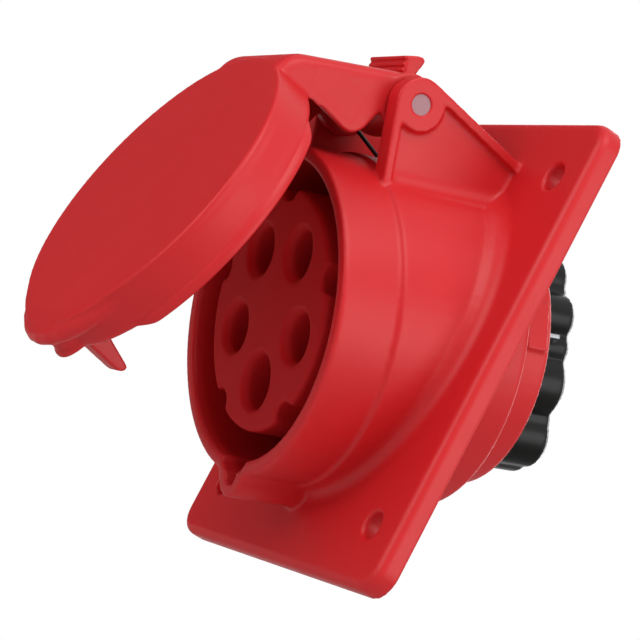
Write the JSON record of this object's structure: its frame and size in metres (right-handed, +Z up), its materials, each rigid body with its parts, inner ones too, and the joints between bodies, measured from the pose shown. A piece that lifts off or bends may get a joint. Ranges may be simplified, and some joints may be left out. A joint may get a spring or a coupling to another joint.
{
  "type": "angled surface mount socket",
  "caption": "Red angled panel power socket with a tilted round collar, keyed contact insert, sprung flip lid on a hinge pin and a black terminal block behind its square flange.",
  "frame": {"origin": "centre of the four fixing holes on the flange's rear face", "axes": "+X to the right seen from the front, +Y to the rear into the wall, +Z up"},
  "size_m": [0.083, 0.0982, 0.0964],
  "materials": {
    "red_plastic": "satin moulded",
    "insert_plastic": "matte moulded",
    "black_plastic": "satin moulded",
    "pin_plastic": "satin",
    "seal_rubber": "matte",
    "brass": "turned",
    "zinc_steel": "zinc plated",
    "spring_steel": "black oxide"
  },
  "bodies": {
    "housing": {"housing": "red_plastic", "hinge_pin": "pin_plastic", "lid_spring": "spring_steel", "contact_insert": "insert_plastic", "terminal_block": "black_plastic", "sleeve_l1": "brass", "sleeve_l2": "brass", "sleeve_l3": "brass", "sleeve_n": "brass", "sleeve_e": "brass", "sleeve_rings": "zinc_steel", "terminal_clamps": "zinc_steel", "terminal_screws": "zinc_steel", "carrier_screw": "zinc_steel"},
    "lid": {"lid": "red_plastic", "lid_seal": "seal_rubber"}
  },
  "joints": [
    {"name": "lid_hinge", "type": "hinge", "parent": "housing", "child": "lid", "pos_m": [0, -0.02871, 0.03698], "axis": [-1, 0, 0], "range_deg": [-30.4, 80], "stiffness_Nm_per_rad": 0.016, "springref_deg": -137.51, "deforming": ["lid_spring"]}
  ]
}
